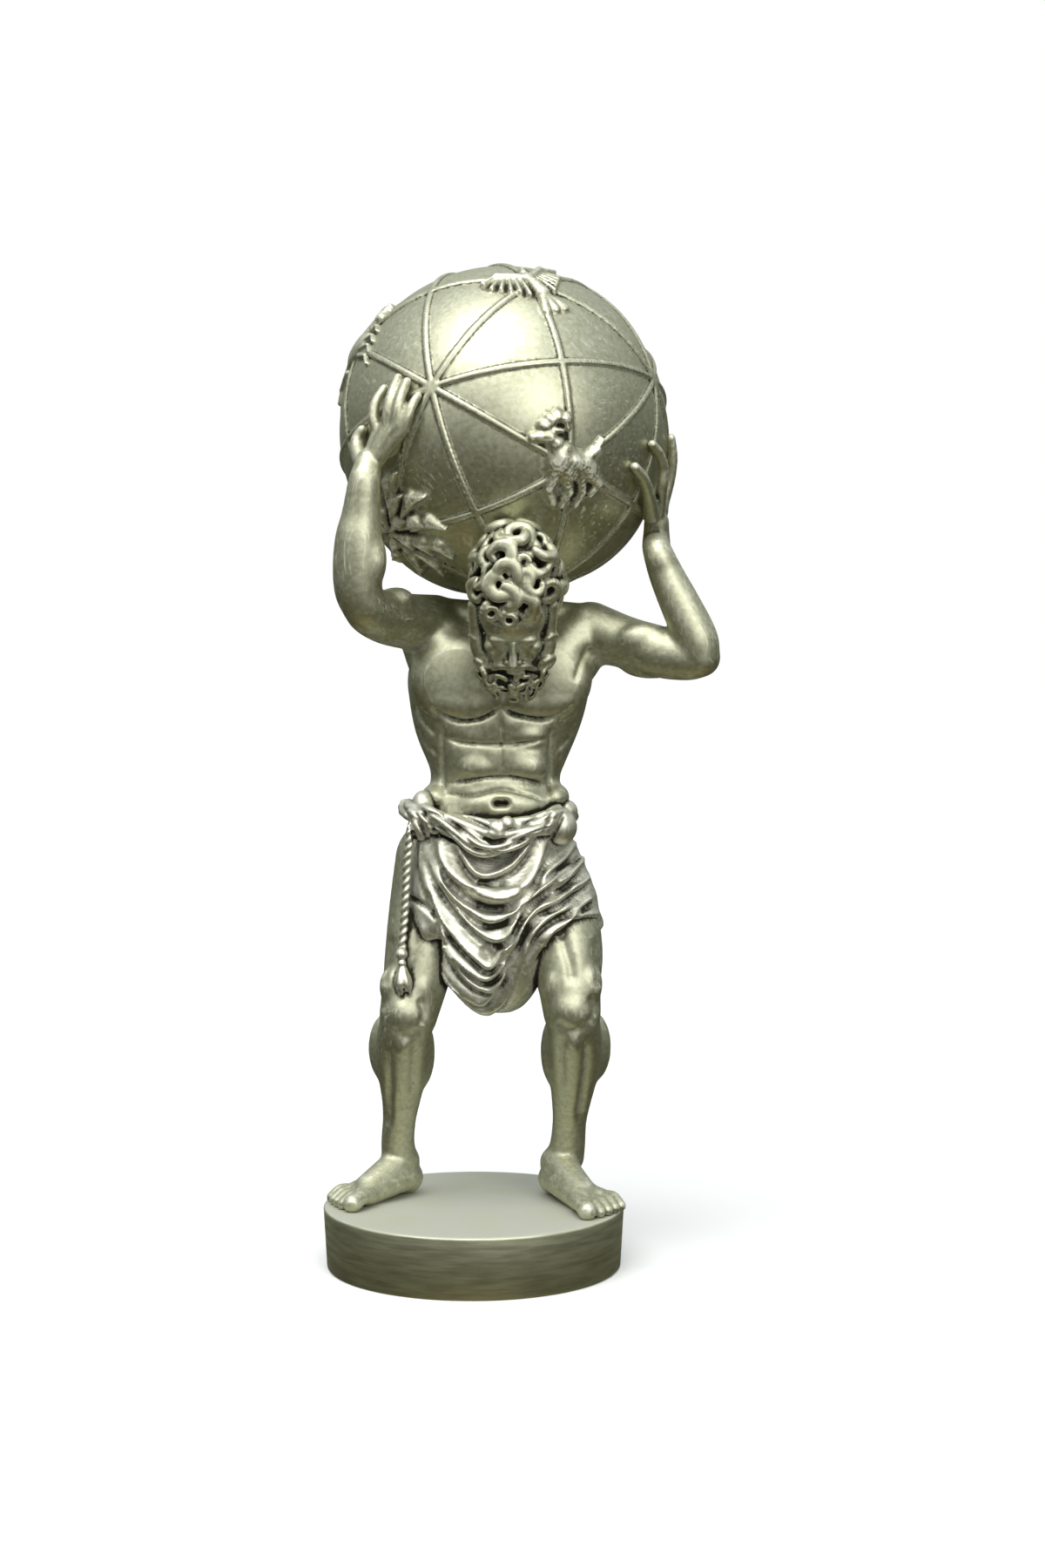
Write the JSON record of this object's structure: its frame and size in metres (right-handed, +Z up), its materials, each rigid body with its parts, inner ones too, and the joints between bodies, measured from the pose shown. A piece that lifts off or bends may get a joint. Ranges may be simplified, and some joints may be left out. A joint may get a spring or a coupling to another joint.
{
  "type": "atlas statue",
  "caption": "Tabletop statue of Atlas: a bearded man in a knotted loincloth carries a strapped sky globe on his shoulders and hands, on a round plinth.",
  "frame": {"origin": "centre of the plinth's underside", "axes": "+Z up, towards the globe; -Y the way the figure faces; +X to the right of someone looking at its face"},
  "size_m": [0.1961, 0.1822, 0.5003],
  "materials": {
    "plinth_paint": "cast resin, brushed metallic paint, darker olive on the side",
    "figure_paint": "cast resin, champagne-silver metallic paint with a dark olive wash in the hollows",
    "globe_paint": "cast resin, champagne-silver metallic paint with a dark olive wash in the hollows"
  },
  "bodies": {
    "root": {"plinth": "plinth_paint", "atlas_figure": "figure_paint", "globe": "globe_paint"}
  },
  "joints": []
}
